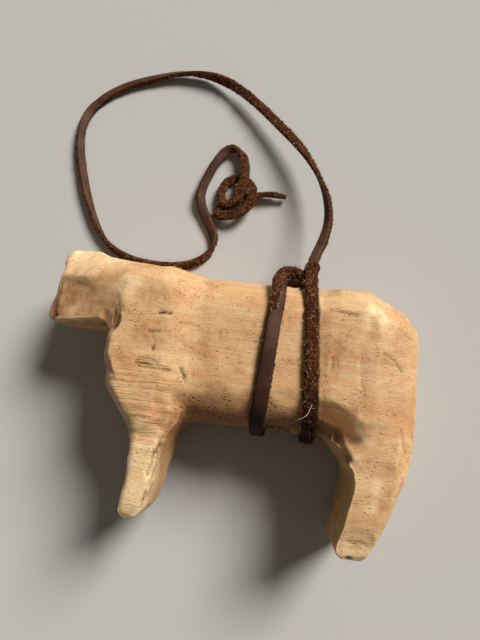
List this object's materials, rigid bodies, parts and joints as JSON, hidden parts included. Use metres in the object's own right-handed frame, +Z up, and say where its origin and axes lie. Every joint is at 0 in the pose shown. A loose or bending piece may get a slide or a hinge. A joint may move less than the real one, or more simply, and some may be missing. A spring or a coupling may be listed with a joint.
{
  "type": "cow figurine",
  "caption": "Whittled wooden cow lying on its side, with a flat leather thong wound round its barrel, hitched on its back and trailing to a loose overhand knot.",
  "frame": {"origin": "on the surface that the cow lies on, under the middle of the cow's own box", "axes": "+X from the muzzle to the rump along the barrel, +Y from the soles to the back, +Z up out of the cow's upper side"},
  "size_m": [0.1386, 0.1796, 0.0381],
  "materials": {
    "pale_wood": "bare, knife-cut",
    "thong_leather": "smooth on the grain side, suede on the flesh side"
  },
  "bodies": {
    "cow": {"carved_cow": "pale_wood"},
    "thong": {"girth_turns": "thong_leather", "back_hitch": "thong_leather", "lead_thong": "thong_leather", "end_knot": "thong_leather", "knot_tail": "thong_leather"}
  },
  "joints": [
    {"name": "girth_slide", "type": "slide", "parent": "cow", "child": "thong", "axis": [-1, 0, 0], "range_m": [0, 0.014]}
  ]
}
